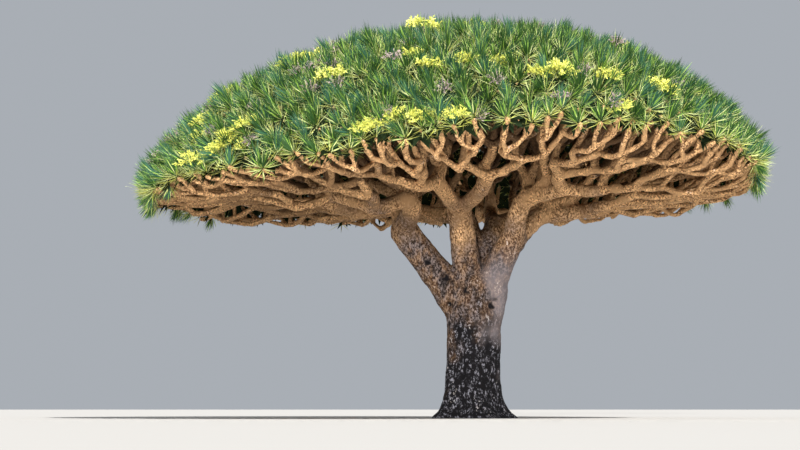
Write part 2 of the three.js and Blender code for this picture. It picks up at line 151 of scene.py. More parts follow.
# A point of the dome, or above it by lift: turn goes round the rim, tip runs from 0 at the apex.
def domePoint(turn, tip, lift=0.0):
    rimX = rimMiddle + rimHalfWidth * math.cos(turn)
    rimY = crown["depth"] * math.sin(turn)
    rise = (crown["apexHeight"] - rimHeight(turn)) / (1 - math.cos(crown["capAngle"]))
    outShare = math.sin(tip) / math.sin(crown["capAngle"])
    out = Vector((rimX - crown["apexX"], rimY, 0))
    bulge = lerp(crown["bulgeLeft"], crown["bulgeRight"], (1 + math.cos(turn)) / 2)
    height = crown["apexHeight"] - rise * (1 - math.cos(tip)) + lift * math.cos(tip)
    height += bulge * 4 * outShare**2 * (1 - outShare**2)
    spot = Vector((crown["apexX"], 0, height)) + out * outShare
    return spot + out.normalized() * (lift * math.sin(tip))


def domeNormal(turn, tip):
    return (domePoint(turn, tip, 1) - domePoint(turn, tip)).normalized()


# The share of the dome's area between its apex and a tip.
def domeShare(tip):
    disc = (math.sin(tip) / math.sin(crown["capAngle"])) ** 2
    sphere = (1 - math.cos(tip)) / (1 - math.cos(crown["capAngle"]))
    return lerp(disc, sphere, crown["flatness"])


def tipAtShare(share):
    low, high = 0.0, crown["capAngle"]
    halvings = 40
    for _ in range(halvings):
        middle = (low + high) / 2
        if domeShare(middle) < share:
            low = middle
        else:
            high = middle
    return low


# A cell is the part of the dome that one limb carries. Its middle is where the limb aims.
def cellMiddle(cell):
    tip = tipAtShare((domeShare(cell["inner"]) + domeShare(cell["outer"])) / 2)
    return (cell["from"] + cell["to"]) / 2, tip


def splitCell(cell):
    turn, tip = cellMiddle(cell)
    across = (domePoint(cell["from"], tip) - domePoint(cell["to"], tip)).length
    along = (domePoint(turn, cell["inner"]) - domePoint(turn, cell["outer"])).length
    middle = 0.5 + growth["splitDrift"] * chance(cell["code"], 1)
    plain = {key: cell[key] for key in ("from", "to", "inner", "outer")}
    low = {**plain, "order": cell["order"] - 1, "code": 2 * cell["code"]}
    high = {**low, "code": 2 * cell["code"] + 1}
    if along > across and "fork" not in cell:
        edge = tipAtShare(lerp(domeShare(cell["inner"]), domeShare(cell["outer"]), middle))
        low["outer"] = high["inner"] = edge
    else:
        low["to"] = high["from"] = lerp(cell["from"], cell["to"], middle)
    return [low, high]


def forkReach(order):
    order = max(order, growth["lastFork"])
    return 1 - growth["reachLoss"] * order - growth["reachLossGain"] * order**2


def limbRadius(order):
    order = max(order, 0)
    return growth["tipRadius"] * 2 ** (growth["radiusPower"] * order + growth["radiusGain"] * order**2)


def growthPoint(turn, tip, reach):
    end = domePoint(turn, tip)
    outShare = math.sin(tip) / math.sin(crown["capAngle"])
    level = lerp(growth["levelShareLeft"], growth["levelShareRight"], (1 + math.cos(turn)) / 2)
    rimRise = level * reach ** growth["firstRise"] + (1 - level) * reach ** growth["lastRise"]
    rise = lerp(reach, rimRise, outShare**2)
    return Vector((
        lerp(growth["headX"], end.x, reach),
        end.y * reach,
        lerp(growth["headHeight"], end.z, rise),
    ))


# Where a cell's limb ends and which way it points there.
def limbEnd(cell, start):
    turn, tip = cellMiddle(cell)
    order = cell["order"]
    if order == growth["lastOrder"]:
        stray = Vector(chances(cell["code"], 5)) * growth["tipStray"]
        return domePoint(turn, tip, growth["twigEnd"]) + stray, domeNormal(turn, tip)
    outward = growth["outwardPerOrder"] * max(order - growth["outwardFrom"], 0)
    aim = lerp(tip, cell["outer"], outward)
    reach = forkReach(order)
    before = growthPoint(turn, aim, reach - growth["wayStep"])
    after = growthPoint(turn, aim, reach + growth["wayStep"])
    if "fork" in cell:
        onward = growthPoint(turn, aim, forkReach(order - 1)) - start[0]
        return Vector(cell["fork"]), onward.normalized()
    length = (growthPoint(turn, aim, forkReach(order + 1)) - after).length
    drift = Vector(chances(cell["code"], 2)) * (growth["wander"] * length)
    return growthPoint(turn, aim, reach) + drift, (after - before).normalized()


# The four corners of the curve of a limb from its parent's fork to its own.
def limbCurve(start, end, spread):
    chord = end[0] - start[0]
    length = chord.length
    chord.normalize()
    side = chord - start[1] * chord.dot(start[1])
    away = (chord + side * spread).normalized()
    bend = growth["bend"] * length
    return [start[0], start[0] + away * bend, end[0] - end[1] * bend, end[0]]


def curvePoint(corners, share):
    a, b, c, d = corners
    rest = 1 - share
    return a * rest**3 + b * (3 * rest**2 * share) + c * (3 * rest * share**2) + d * share**3


def grow(cell, start):
    end = limbEnd(cell, start)
    order = cell["order"]
    spread = growth["boughSpread"] if "fork" in cell else growth["forkSpread"]
    if order <= growth["twigOrder"]:
        spread = growth["twigSpread"]
    limb = {
        "cell": cell,
        "order": order,
        "start": start,
        "end": end,
        "corners": limbCurve(start, end, spread),
        "radius": limbRadius(order) * cell.get("girth", 1.0),
        "children": [],
    }
    if order > growth["lastOrder"]:
        limb["children"] = [grow(child, end) for child in splitCell(cell)]
    return limb


def everyLimb(limb):
    yield limb
    for child in limb["children"]:
        yield from everyLimb(child)


head = (Vector((growth["headX"], 0, growth["startHeight"])), Vector((0, 0, 1)))
limbs = []
for place, bough in enumerate(mainBoughs):
    cell = {
        "from": math.radians(bough["from"]),
        "to": math.radians(bough["to"]),
        "inner": 0.0,
        "outer": crown["capAngle"],
        "order": bough["order"],
        "code": growth["firstCode"] + place,
        "fork": bough["fork"],
        "girth": bough["girth"],
    }
    grown = list(everyLimb(grow(cell, head)))
    print("bough", bough["name"], len(grown), "limbs")
    limbs += grown
tips = [limb for limb in limbs if not limb["children"]]
print("grown:", len(limbs), "limbs,", len(tips), "tips")


# The rounded ends of a tube, as shares of its radius there.
tubeEnds = {"ringOut": 0.55, "ringRadius": 0.6, "poleOut": 0.75}


# Faces between rings of corners that follow each other.
def ringFaces(ringCount, sides):
    faces = []
    for ring in range(ringCount - 1):
        for side in range(sides):
            a = ring * sides + side
            b = ring * sides + (side + 1) % sides
            faces.append((a, b, b + sides, a + sides))
    return faces


# Corners and faces of a closed tube round a line of points, rounded at both ends.
def tubeParts(points, radii, sides):
    points = np.array(points)
    radii = np.array(radii)
    ahead = np.gradient(points, axis=0)
    ahead /= np.linalg.norm(ahead, axis=1)[:, None]
    slant = [0.31, 0.87, 0.38]  # any way but the line's own
    across = np.cross(ahead[0], slant)
    angles = np.arange(sides) * (2 * math.pi / sides)
    last = len(points) - 1
    rings = []
    for place, point in enumerate(points):
        across = across - ahead[place] * across.dot(ahead[place])
        across /= np.linalg.norm(across)
        up = np.cross(ahead[place], across)
        circle = np.outer(np.cos(angles), across) + np.outer(np.sin(angles), up)
        out = ahead[place] * radii[place] * tubeEnds["ringOut"]
        small = circle * radii[place] * tubeEnds["ringRadius"]
        rings.append(point + circle * radii[place])
        if place == 0:
            rings.insert(0, point - out + small)
        if place == last:
            rings.append(point + out + small)
    startPole = points[0] - ahead[0] * radii[0] * tubeEnds["poleOut"]
    endPole = points[last] + ahead[last] * radii[last] * tubeEnds["poleOut"]
    faces = ringFaces(len(rings), sides)
    foot = len(rings) * sides
    top = foot - sides
    for side in range(sides):
        after = (side + 1) % sides
        faces.append((after, side, foot))
        faces.append((top + side, top + after, foot + 1))
    return np.vstack([*rings, startPole[None], endPole[None]]), faces


# One mesh object from many closed parts.
def joinedMesh(name, parts, smooth=True):
    corners, faces, start = [], [], 0
    for spots, sides in parts:
        corners.append(spots)
        faces += [tuple(spot + start for spot in face) for face in sides]
        start += len(spots)
    mesh = bpy.data.meshes.new(name)
    mesh.from_pydata(np.vstack(corners).tolist(), [], faces)
    mesh.polygons.foreach_set("use_smooth", [smooth] * len(mesh.polygons))
    mesh.update()
    made = bpy.data.objects.new(name, mesh)
    bpy.context.scene.collection.objects.link(made)
    return made


def triangleCount(mesh):
    mesh.calc_loop_triangles()
    return len(mesh.loop_triangles)


# The evaluated shape of an object as a plain mesh, without its modifiers.
def settle(made):
    graph = bpy.context.evaluated_depsgraph_get()
    plain = bpy.data.meshes.new_from_object(made.evaluated_get(graph))
    plain.name = made.name
    old = made.data
    made.modifiers.clear()
    made.data = plain
    bpy.data.meshes.remove(old)


# How a limb's radius runs, as shares: its taper, and how much it swells at its root and at the fork where it
# ends, with how far along that fades. The main boughs have their own.
limbForm = {
    "taper": (1.1, 0.96),
    "mainTaper": (1.12, 0.78),
    "rootSwell": (0.2, 0.12),
    "mainRootSwell": (0.35, 0.5),
    "forkSwell": (0.12, 0.12),
    "sway": 0.9,
}


# The line of a limb: points and radii, both uneven by a share of its radius, its knots.
def limbLine(limb, steps, knots, stop=1.0, thin=1.0):
    radius = limb["radius"] * thin
    code = limb["cell"]["code"]
    main = "fork" in limb["cell"]
    taper = limbForm["mainTaper" if main else "taper"]
    rootSwell, rootFade = limbForm["mainRootSwell" if main else "rootSwell"]
    forkSwell, forkFade = limbForm["forkSwell"]
    points, radii = [], []
    for step in range(steps + 1):
        share = stop * step / steps
        root = rootSwell * math.exp(-share / rootFade)
        fork = forkSwell * math.exp(-(1 - share) / forkFade)
        knot = knots * chance(code, 30 + step)
        sway = radius * knots * limbForm["sway"] * (1 if 0 < step < steps else 0)
        drift = Vector(chances(code, 50 + 3 * step))
        points.append(curvePoint(limb["corners"], share) + drift * sway)
        radii.append(radius * (lerp(*taper, share) + root + fork + knot))
    return points, radii


# Bark: pale and dark grain, grey at the head of the trunk and dark with pale flecks at its foot, with painted
# light on the trunk's right side and painted shade in its pits, its knot holes and inside the crown. A noise
# is its scale, detail and roughness. Edges are the noise values between which a colour comes in.
bark = {
    "limb": (1.0, 0.6, 0.28),
    "limbDark": (0.11, 0.045, 0.018),
    "head": (0.24, 0.185, 0.168),
    "headDark": (0.018, 0.011, 0.008),
    # side: painted light, a paler lavender grey on the trunk's right side, where the light falls
    "side": (0.28, 0.245, 0.255),
    # inner: painted shade, the near-black that wood deep inside the crown and the shaded twigs lean towards
    "inner": (0.045, 0.022, 0.011),
    # foot: near black at the trunk's foot, also used for the painted shade in the bark's deepest pits and
    # knot holes
    "foot": (0.007, 0.006, 0.007),
    "footPale": (0.34, 0.33, 0.37),
    "patch": (0.66, 0.6, 0.56),
    "fineNoise": (31, 5, 0.72),
    "coarseNoise": (13, 3, 0.6),
    "wideNoise": (4.5, 3, 0.6),
    "stretch": 0.65,
    "limbEdges": (0.41, 0.6),
    "dullEdges": (0.62, 0.3),
    "dullShare": 0.6,
    "headEdges": (0.45, 0.57),
    "dimEdges": (0.52, 0.36),
    "dimShare": 0.75,
    "earthEdges": (0.4, 0.62),
    "earthShare": 0.5,
    "sideShare": 0.6,
    "fleckEdges": {"fine": (0.5, 0.6), "coarse": (0.44, 0.6)},
    "patchEdges": {"wide": (0.6, 0.66), "fine": (0.58, 0.62)},
    "bumpStrength": 0.6,
    "bumpHeight": 0.04,
    "roughness": 0.85,
    "specular": 0.2,
}


def lerpColour(first, second, share):
    return tuple(lerp(a, b, share) for a, b in zip(first, second))


def mixColour(tree, share, first, second):
    node = tree.nodes.new("ShaderNodeMix")
    node.data_type = "RGBA"
    for socket, value in ((node.inputs[0], share), (node.inputs[6], first), (node.inputs[7], second)):
        if isinstance(value, bpy.types.NodeSocket):
            tree.links.new(value, socket)
        elif isinstance(value, tuple):
            socket.default_value = (*value, 1)
        else:
            socket.default_value = value
    return node.outputs[2]


def ramp(tree, value, low, high):
    node = tree.nodes.new("ShaderNodeMapRange")
    node.interpolation_type = "SMOOTHSTEP"
    node.inputs[1].default_value = low
    node.inputs[2].default_value = high
    tree.links.new(value, node.inputs[0])
    return node.outputs[0]


def combine(tree, operation, first, second):
    node = tree.nodes.new("ShaderNodeMath")
    node.operation = operation
    for socket, value in zip(node.inputs, (first, second)):
        if isinstance(value, bpy.types.NodeSocket):
            tree.links.new(value, socket)
        else:
            socket.default_value = value
    return node.outputs[0]


def multiply(tree, first, second):
    return combine(tree, "MULTIPLY", first, second)


# Bark for the sculpted wood, which carries shares of its own colours and of painted light and shade, or for
# twigs, darker by painted shade.
def barkMaterial(name, sculpted, shade=0.0):
    material = bpy.data.materials.new(name)
    material.use_nodes = True
    tree = material.node_tree
    link = tree.links.new
    shader = tree.nodes["Principled BSDF"]
    shader.inputs["Roughness"].default_value = bark["roughness"]
    shader.inputs["Specular IOR Level"].default_value = bark["specular"]
    place = tree.nodes.new("ShaderNodeMapping")
    place.inputs["Scale"].default_value = (1, 1, bark["stretch"] if sculpted else 1)
    link(tree.nodes.new("ShaderNodeTexCoord").outputs["Object"], place.inputs["Vector"])

    def grain(key):
        node = tree.nodes.new("ShaderNodeTexNoise")
        for label, value in zip(("Scale", "Detail", "Roughness"), bark[key]):
            node.inputs[label].default_value = value
        link(place.outputs[0], node.inputs["Vector"])
        return node.outputs["Fac"]

    def given(key):
        node = tree.nodes.new("ShaderNodeAttribute")
        node.attribute_name = key
        return node.outputs["Fac"]

    def mix(share, first, second):
        return mixColour(tree, share, first, second)

    def edges(value, lowHigh):
        return ramp(tree, value, *lowHigh)

    fine, coarse, wide = grain("fineNoise"), grain("coarseNoise"), grain("wideNoise")
    # Painted shade: the twigs' tan and brown lean towards the shade colour by the group's share.
    tan, brown = (lerpColour(bark[key], bark["inner"], shade) for key in ("limb", "limbDark"))
    dull = lerpColour(tan, brown, bark["dullShare"])
    pale = edges(fine, bark["limbEdges"])
    colour = mix(pale, brown, tan)
    colour = mix(edges(wide, bark["dullEdges"]), colour, dull)
    if sculpted:
        grey = mix(edges(fine, bark["headEdges"]), bark["headDark"], bark["head"])
        dim = multiply(tree, edges(coarse, bark["dimEdges"]), bark["dimShare"])
        grey = mix(dim, grey, bark["headDark"])
        earthy = multiply(tree, edges(wide, bark["earthEdges"]), bark["earthShare"])
        grey = mix(earthy, grey, mix(pale, brown, dull))
        # Painted light: the trunk's right side below its head is paler, as if lit from the right.
        grey = mix(multiply(tree, given("sideShare"), bark["sideShare"]), grey, bark["side"])
        colour = mix(given("greyShare"), colour, grey)
        fleck = bark["fleckEdges"]
        flecks = multiply(tree, edges(fine, fleck["fine"]), edges(coarse, fleck["coarse"]))
        foot = mix(flecks, bark["foot"], bark["footPale"])
        colour = mix(given("footShare"), colour, foot)
        # Painted shade on the wood deep inside the crown.
        colour = mix(given("innerShare"), colour, bark["inner"])
        # Painted shade: the deepest pits of the relief and the knot holes are darkened to near black.
        colour = mix(given("hollow"), colour, bark["foot"])
    patch = bark["patchEdges"]
    patches = multiply(tree, edges(wide, patch["wide"]), edges(fine, patch["fine"]))
    colour = mix(patches, colour, bark["patch"])
    link(colour, shader.inputs["Base Color"])
    bump = tree.nodes.new("ShaderNodeBump")
    bump.inputs["Strength"].default_value = bark["bumpStrength"]
    bump.inputs["Distance"].default_value = bark["bumpHeight"]
    link(fine, bump.inputs["Height"])
    link(bump.outputs["Normal"], shader.inputs["Normal"])
    return material


# A finish of one colour.
def plainMaterial(name, colour, roughness, specular):
    material = bpy.data.materials.new(name)
    material.use_nodes = True
    shader = material.node_tree.nodes["Principled BSDF"]
    shader.inputs["Base Color"].default_value = (*colour, 1)
    shader.inputs["Roughness"].default_value = roughness
    shader.inputs["Specular IOR Level"].default_value = specular
    return material


# The trunk's shaft: round and fluted, with a flared foot and a wide head under a low dome.
trunk = {
    "waistRadius": 0.432,
    "footRadius": 0.7,
    "footRise": 0.23,
    "neckHeight": 1.35,
    "headHeight": 2.12,
    "headRadius": 0.53,
    "headDepthShare": 0.76,
    "crotchHeight": 2.48,
    "lean": 0.12,
    "flutes": 5,
    "fluteDepth": 0.05,
    "fluteTurn": 0.9,
    "sides": 72,
    "rings": 47,
    "domeAngles": (20, 40, 60, 78),
}
# The skins over the wood: how fine they are on thick and on thin limbs, and how they are smoothed.
skinForm = {"thickCell": 0.0185, "thinCell": 0.024, "smoothing": 0.5, "smoothRounds": 8}
# Where painted shade darkens the crown's wood: shares of the height of its inside, and of the way to its rim.
inner = {"belowRim": 0.4, "leastHeight": 0.2, "depths": (0.05, 0.45), "outs": (0.6, 0.92), "strength": 0.9}
# The bark's relief: scales and heights of its noises. It fades between two heights of the tree.
relief = {
    "height": 0.03,
    "fadeHeights": (1.5, 2.7),
    "fadeShare": 0.55,
    "ridges": {"across": 7, "along": 2.2, "height": 0.8},
    "lumps": {"scale": 5.3, "height": 0.5},
    "pits": {"scale": 13, "height": 0.35, "from": 0.25, "depth": 1.1},
    "driftScale": 2.1,
}
# Knot holes: place on the front, how wide and how deep.
knotHoles = [
    (-0.74, 2.6, 0.07, 0.06),
    (-0.43, 2.3, 0.09, 0.07),
    (-0.11, 2.13, 0.07, 0.05),
    (-0.36, 1.9, 0.07, 0.05),
    (0.33, 1.9, 0.06, 0.04),
]
# Their form: the plane that they lie in front of, how noise bends their edge, how much taller than wide they
# are, how far out they reach, how soon they flatten out and where the painted shade in them ends.
knotForm = {
    "front": 0.15,
    "bendX": 0.07,
    "bendZ": 0.08,
    "squash": 0.75,
    "reach": 1.6,
    "fall": 1.6,
    "paintedKnotShade": (0.5, 1),
}
# Where the trunk's colours lie: heights or widths between which each one starts or ends, and how far noise
# bends that edge.
barkZones = {
    "greyHeights": (2.6, 3.9),
    "greyDrift": 0.6,
    # Painted light on the trunk's right side: the widths and heights where it lies, and how far noise bends
    # its edge.
    "paintedLightWidths": (0.1, 0.4),
    "paintedLightHeights": (2.2, 2.9),
    "paintedLightDrift": 0.3,
    "footHeights": (1.2, 2.4),
    "footDrift": 0.7,
    "footLumps": 0.5,
    "footNarrowing": 0.9,
    "footMiddle": -0.05,
    # Painted shade in the relief's deepest pits: the pit depths between which it comes in, and how strong it
    # is.
    "paintedPitShadeDepths": (0.3, 0.9),
    "paintedPitShadeStrength": 0.7,
}


def trunkRadius(height):
    foot = (trunk["footRadius"] - trunk["waistRadius"]) * math.exp(-height / trunk["footRise"])
    neck = smoothstep(height, trunk["neckHeight"], trunk["headHeight"])
    return trunk["waistRadius"] + foot + (trunk["headRadius"] - trunk["waistRadius"]) * neck


def shaftParts():
    heights = list(np.linspace(0, trunk["headHeight"], trunk["rings"]))
    rings = [(height, trunkRadius(height)) for height in heights]
    for angle in trunk["domeAngles"]:
        share = math.sin(math.radians(angle))
        height = lerp(trunk["headHeight"], trunk["crotchHeight"], share)
        rings.append((height, trunk["headRadius"] * math.cos(math.radians(angle))))
    corners = []
    sides = trunk["sides"]
    angles = np.arange(sides) * (2 * math.pi / sides)
    for height, radius in rings:
        depth = trunk["fluteDepth"] * (1 + math.exp(-height / trunk["footRise"]))
        reach = radius * (1 + depth * np.cos(trunk["flutes"] * angles + height / trunk["fluteTurn"]))
        middleX = trunk["lean"] * (height / trunk["crotchHeight"]) ** 2
        neck = smoothstep(height, trunk["neckHeight"], trunk["headHeight"])
        narrow = lerp(1, trunk["headDepthShare"], neck)
        xs, ys = middleX + reach * np.cos(angles), narrow * reach * np.sin(angles)
        corners.append(np.stack([xs, ys, np.full(sides, height)], 1))
    faces = ringFaces(len(rings), sides)
    top = (len(rings) - 1) * sides
    faces.append(tuple(range(sides - 1, -1, -1)))
    faces.append(tuple(range(top, top + sides)))
    return np.vstack(corners), faces


def addModifier(made, kind, **settings):
    modifier = made.modifiers.new(kind.lower(), kind)
    for key, value in settings.items():
        setattr(modifier, key, value)


# How much painted shade a place gets inside the crown: 0 at the underside and at the rim, full further up and
# in.
def innerShare(x, y, z):
    out = math.hypot((x - rimMiddle) / rimHalfWidth, y / crown["depth"])
    turn = math.atan2(y / crown["depth"], (x - rimMiddle) / rimHalfWidth)
    low = rimHeight(turn) - inner["belowRim"]
    top = lerp(crown["apexHeight"], rimHeight(turn), out**2)
    depth = (z - low) / max(top - low, inner["leastHeight"])
    share = smoothstep(depth, *inner["depths"]) * (1 - smoothstep(out, *inner["outs"]))
    return inner["strength"] * float(share)


# How far the bark stands out at a place, and the shares of its colours there: painted light on the trunk's
# right side and painted shade in its pits, knot holes and inside the crown among them.
def barkAt(x, y, z):
    spot = Vector((x, y, z))
    ridges, bumps, pocks = relief["ridges"], relief["lumps"], relief["pits"]
    rough = 1 - relief["fadeShare"] * float(smoothstep(z, *relief["fadeHeights"]))
    upright = noise.noise(Vector((x * ridges["across"], y * ridges["across"], z * ridges["along"])))
    lumps = noise.noise(spot * bumps["scale"])
    pits = noise.noise(spot * pocks["scale"])
    drift = noise.noise(spot * relief["driftScale"])
    rise = rough * (ridges["height"] * upright + bumps["height"] * lumps) + pocks["height"] * pits
    rise -= pocks["depth"] * rough * max(0.0, pits - pocks["from"])
    paintedKnotShade = 0.0
    # Knot holes are dug into the front, and painted shade darkens their middles.
    if y < knotForm["front"]:
        for holeX, holeZ, width, depth in knotHoles:
            aside = x - holeX + knotForm["bendX"] * pits
            above = (z - holeZ) * knotForm["squash"] + knotForm["bendZ"] * lumps
            gap = math.hypot(aside, above) / width
            if gap < knotForm["reach"]:
                rise -= math.exp(-gap * gap * knotForm["fall"]) * depth / relief["height"]
                paintedKnotShade = max(paintedKnotShade, float(1 - smoothstep(gap, *knotForm["paintedKnotShade"])))
    zones = barkZones
    footLine = z + zones["footDrift"] * drift + zones["footLumps"] * lumps
    footLine += zones["footNarrowing"] * abs(x - zones["footMiddle"])
    # Painted light on the right side of the trunk, fading out above its head.
    side = smoothstep(x + zones["paintedLightDrift"] * drift, *zones["paintedLightWidths"])
    return (
        rise,
        1 - smoothstep(z + zones["greyDrift"] * drift, *zones["greyHeights"]),
        side * (1 - smoothstep(z, *zones["paintedLightHeights"])),
        1 - smoothstep(footLine, *zones["footHeights"]),
        max(paintedKnotShade, zones["paintedPitShadeStrength"] * smoothstep(-rise, *zones["paintedPitShadeDepths"])),
        innerShare(x, y, z),
    )


# Joins closed parts under one skin, smooths it, and raises the bark's relief on it.
def skinnedWood(name, parts, cellSize, material):
    made = joinedMesh(name, parts)
    addModifier(made, "REMESH", mode="VOXEL", voxel_size=cellSize, use_smooth_shade=True)
    addModifier(made, "SMOOTH", factor=skinForm["smoothing"], iterations=skinForm["smoothRounds"])
    settle(made)
    mesh = made.data
    count = len(mesh.vertices)
    spots, normals = np.empty(count * 3), np.empty(count * 3)
    mesh.vertices.foreach_get("co", spots)
    mesh.vertex_normals.foreach_get("vector", normals)
    spots, normals = spots.reshape(-1, 3), normals.reshape(-1, 3)
    rises, *shares = np.array([barkAt(*spot) for spot in spots]).T
    spots = spots + normals * (rises * relief["height"])[:, None]
    spots[:, 2] = np.maximum(spots[:, 2], 0)
    mesh.vertices.foreach_set("co", spots.ravel())
    for key, values in zip(("greyShare", "sideShare", "footShare", "hollow", "innerShare"), shares):
        mesh.attributes.new(key, "FLOAT", "POINT").data.foreach_set("value", values.tolist())
    mesh.update()
    mesh.materials.clear()
    mesh.materials.append(material)
    print(name, triangleCount(mesh), "triangles")
    return made


# Each piece stays still with the frame's root, and the solids that it stands for are hidden.
def finishPiece(piece, nodes):
    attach(piece, "root")
    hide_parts(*nodes)


# The tubes under the skins, by the lowest order of their limbs: steps along a limb, knots as a share of its
# radius, and sides. A stub is the start of a thin limb, which the thick skin covers too.
thickLimbs = {"order": 7, "steps": 12, "knots": 0.03, "sides": 20}
thinLimbs = {"order": 5, "steps": 9, "knots": 0.04, "sides": 14}
stubs = {"order": 6, "steps": 5, "knots": 0.03, "sides": 14, "stop": 0.4, "thin": 0.96}
# The wood that fills the crotch between two main boughs.
web = {"radius": 0.4, "endRadius": 0.06, "reach": 0.5, "points": 7, "sides": 16}


def limbTube(limb, form):
    line = limbLine(limb, form["steps"], form["knots"], form.get("stop", 1.0), form.get("thin", 1.0))
    return tubeParts(*line, form["sides"])


def webTube(limb, other):
    points, radii = [], []
    for share in np.linspace(0, web["reach"], web["points"]):
        points.append((curvePoint(limb["corners"], share) + curvePoint(other["corners"], share)) / 2)
        radii.append(lerp(web["radius"], web["endRadius"], share / web["reach"]))
    return tubeParts(points, radii, web["sides"])


barkSkin = barkMaterial("bark", True)
forks = [limb for limb in limbs if "fork" in limb["cell"]]
thickParts = [shaftParts()] + [webTube(*pair) for pair in zip(forks, forks[1:] + forks[:1])]
thinParts = []
for limb in limbs:
    order = limb["order"]
    if order >= thickLimbs["order"]:
        thickParts.append(limbTube(limb, thickLimbs))
    elif order >= thinLimbs["order"]:
        thinParts.append(limbTube(limb, thinLimbs))
        if order >= stubs["order"]:
            thickParts.append(limbTube(limb, stubs))
wood = skinnedWood("trunk_and_boughs", thickParts, skinForm["thickCell"], barkSkin)
finishPiece(wood, ["trunk", *boughNodes])
limbWood = skinnedWood("limbs", thinParts, skinForm["thinCell"], barkSkin)
finishPiece(limbWood, boughNodes)

# Twigs: knobbly tubes from each fork to the next, up to the rosettes.
twigs = {"sides": 6, "stepLength": 0.085, "leastSteps": 3, "knots": 0.2, "thin": 0.84}
# Three groups, darker towards the middle of the crown by painted shade: the least painted shade share of
# each, and how strong its painted shade is.
twigGroups = [
    {"name": "twigs_inner", "above": 0.6, "shade": 0.8, "parts": []},
    {"name": "twigs_middle", "above": 0.25, "shade": 0.4, "parts": []},
    {"name": "twigs_outer", "above": -1.0, "shade": 0.0, "parts": []},
]
for limb in limbs:
    if limb["order"] < thinLimbs["order"]:
        length = (limb["end"][0] - limb["start"][0]).length
        steps = max(twigs["leastSteps"], round(length / twigs["stepLength"]))
        depth = innerShare(*curvePoint(limb["corners"], 0.5))
        group = next(group for group in twigGroups if depth > group["above"])
        group["parts"].append(limbTube(limb, {**twigs, "steps": steps}))
for group in twigGroups:
    name = group["name"]
    piece = joinedMesh(name, group["parts"])
    piece.data.materials.append(barkMaterial(f"bark_{name}", False, group["shade"]))
    finishPiece(piece, massNodes)
    print(name, triangleCount(piece.data), "triangles")

# Rosettes: stiff sword leaves on a spiral, upright in the middle and spreading below.
rosette = {
    "length": 0.3,
    "halfWidth": 0.0105,
    "thickness": 0.005,
    "coreRadius": 0.02,
    "crowding": 0.85,
    "droop": 0.03,
    "outerDroop": 0.09,
    "spinDrift": 0.2,
    "tiltDrift": 6,
    "lengthDrift": 0.12,
    "droopDrift": 0.5,
    "codeStep": 977,
    "kinds": 3,
    "upright": 0.3,
    "rimUpright": 0.62,
    "lean": 0.45,
    "stray": 0.03,
    "apexSize": 0.9,
    "rimSize": 0.96,
    "sizeDrift": 0.06,
}
# Some rosettes at the rim have another one hanging below them, in these sectors, in degrees.
hanging = {"sectors": ((150, 215), (-25, 40)), "share": 0.6, "size": 0.85, "droop": 0.6}
# Broad near-black leaves lie flat along the dome and close the crown: painted shade, a dark sheet where the
# crown's inside lies in shade. Those of the rim lie further in and up.
closing = {"inward": 0.17, "up": 0.08, "size": 0.75}
# The leaves of a rosette in layers, each of one colour. Tilts in degrees, lengths and root heights run from a
# layer's first leaf to its last. Layers with turns (0, 2) and (1, 2) share the rosettes between them.
leafLayers = [
    {"name": "deep", "colour": (0.036, 0.1, 0.022), "turns": (0, 2), "count": 26,
     "tilts": (2, 44), "lengths": (1.12, 0.95), "heights": (0.12, 0.05)},
    {"name": "blue", "colour": (0.045, 0.14, 0.075), "turns": (1, 2), "count": 26,
     "tilts": (2, 44), "lengths": (1.12, 0.95), "heights": (0.12, 0.05)},
    {"name": "fresh", "colour": (0.27, 0.45, 0.07), "turns": (0, 1), "count": 10,
     "tilts": (8, 58), "lengths": (1.0, 0.9), "heights": (0.12, 0.05)},
    # pale: pale yellow-green spreading leaves, their colour partly real and partly a painted highlight on the
    # foliage
    {"name": "pale", "colour": (0.68, 0.74, 0.3), "turns": (0, 1), "count": 14,
     "tilts": (34, 90), "lengths": (1.0, 0.88), "heights": (0.08, 0.03), "width": 0.66},
    {"name": "lime", "colour": (0.56, 0.56, 0.12), "turns": (0, 1), "count": 9,
     "tilts": (55, 102), "lengths": (0.92, 0.78), "heights": (0.05, 0.01), "width": 0.75},
    {"name": "olive", "colour": (0.2, 0.2, 0.05), "turns": (0, 1), "count": 6,
     "tilts": (85, 125), "lengths": (0.7, 0.55), "heights": (0.03, -0.01)},
    # shade: painted shade, near-black broad leaves that stand in for the shade deep inside the crown
    {"name": "shade", "colour": (0.015, 0.025, 0.01), "closes": True, "count": 11,
     "tilts": (78, 100), "lengths": (1.0, 0.95), "heights": (0.02, -0.03), "width": 6},
]
leafGloss = (0.5, 0.35)  # roughness and specular
# Dull, so the painted shade sheet shows no sheen.
closingGloss = (0.95, 0.05)
goldenAngle = math.pi * (3 - math.sqrt(5))


# One leaf as a closed blade of six faces: pointed at its root and its tip, widest between, bending down.
def leafParts(root, direction, side, length, halfWidth, thickness, droop=0.0, widest=0.3):
    face = np.cross(side, direction)
    middle = root + direction * (widest * length)
    tip = root + direction * length - face * (droop * length)
    corners = [root, middle - side * halfWidth, middle + side * halfWidth, middle - face * thickness, tip]
    return np.array(corners), [(0, 2, 1), (0, 3, 2), (0, 1, 3), (4, 1, 2), (4, 2, 3), (4, 3, 1)]


